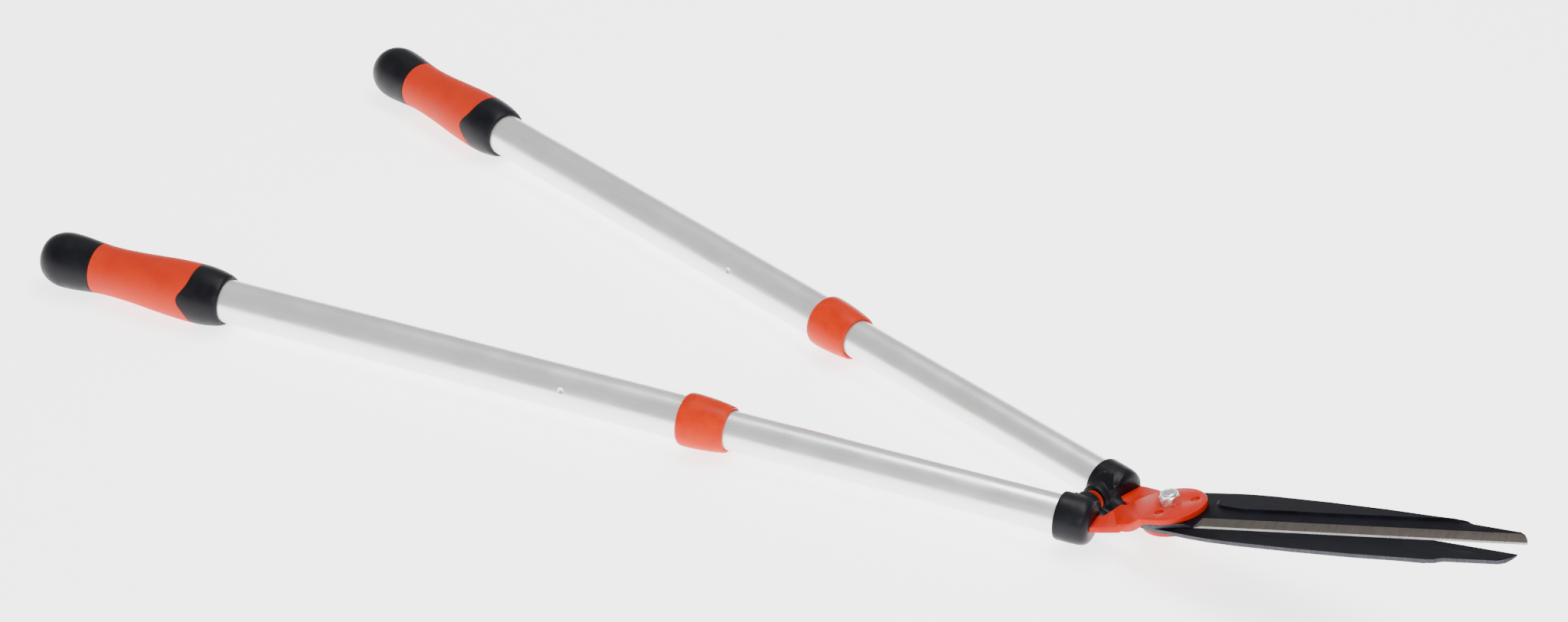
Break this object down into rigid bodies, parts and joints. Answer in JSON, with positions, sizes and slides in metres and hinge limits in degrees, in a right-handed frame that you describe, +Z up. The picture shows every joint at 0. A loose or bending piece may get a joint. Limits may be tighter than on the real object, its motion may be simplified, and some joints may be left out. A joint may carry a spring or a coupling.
{
  "type": "telescopic hedge shears",
  "caption": "Two-handed hedge shears: crossed blades on a pivot bolt, cranked to twist-lock telescoping tube handles with soft grips.",
  "frame": {"origin": "on the ground under the middle of the overall box", "axes": "+X from the grips to the blade tips, +Y to the far handle, which belongs to the lower blade, +Z up"},
  "size_m": [1.1098, 0.4122, 0.1139],
  "materials": {
    "blade_steel": "black low-friction coating, ground bright along the edge",
    "plate_paint": "gloss orange-red",
    "zinc_steel": "bright zinc",
    "nylon": "natural nylon",
    "black_plastic": "satin moulded",
    "orange_rubber": "soft matte",
    "satin_aluminium": "satin anodised, drawn lengthways",
    "orange_plastic": "semi-gloss moulded",
    "black_rubber": "matte"
  },
  "bodies": {
    "far_half": {"lower_blade": "blade_steel", "lower_tang_plate": "plate_paint", "pivot_bolt": "zinc_steel", "pivot_bush": "zinc_steel", "spring_washer": "zinc_steel", "pivot_nut": "zinc_steel", "nut_insert": "nylon", "far_head_cap": "black_plastic", "far_buffer": "orange_rubber", "far_tang_core": "black_plastic", "far_head_pin": "zinc_steel", "far_inner_tube": "satin_aluminium", "far_guide_plug": "black_plastic"},
    "near_half": {"upper_blade": "blade_steel", "upper_tang_plate": "plate_paint", "near_head_cap": "black_plastic", "near_buffer": "orange_rubber", "near_tang_core": "black_plastic", "near_head_pin": "zinc_steel", "near_inner_tube": "satin_aluminium", "near_guide_plug": "black_plastic"},
    "near_slide": {"near_outer_tube": "satin_aluminium", "near_collet": "black_plastic", "near_grip_body": "black_plastic", "near_grip_panel": "orange_rubber", "near_end_plug": "black_plastic"},
    "far_slide": {"far_outer_tube": "satin_aluminium", "far_collet": "black_plastic", "far_grip_body": "black_plastic", "far_grip_panel": "orange_rubber", "far_end_plug": "black_plastic"},
    "near_lock": {"near_lock_collar": "orange_plastic", "near_wiper_ring": "black_rubber"},
    "far_lock": {"far_lock_collar": "orange_plastic", "far_wiper_ring": "black_rubber"}
  },
  "joints": [
    {"name": "blade_pivot", "type": "hinge", "parent": "far_half", "child": "near_half", "pos_m": [0.3046, 0, 0.03898], "axis": [-0.2823, 0, 0.9593], "range_deg": [-3, 42]},
    {"name": "near_telescope", "type": "slide", "parent": "near_half", "child": "near_slide", "axis": [0.9792, 0.2028, 0], "range_m": [0, 0.225]},
    {"name": "far_telescope", "type": "slide", "parent": "far_half", "child": "far_slide", "axis": [0.9792, -0.2028, 0], "range_m": [0, 0.225]},
    {"name": "near_lock_twist", "type": "hinge", "parent": "near_slide", "child": "near_lock", "pos_m": [-0.02421, -0.07954, 0.022], "axis": [0.9792, 0.2028, 0], "range_deg": [0, 90]},
    {"name": "far_lock_twist", "type": "hinge", "parent": "far_slide", "child": "far_lock", "pos_m": [-0.02421, 0.07954, 0.022], "axis": [0.9792, -0.2028, 0], "range_deg": [0, 90]}
  ]
}
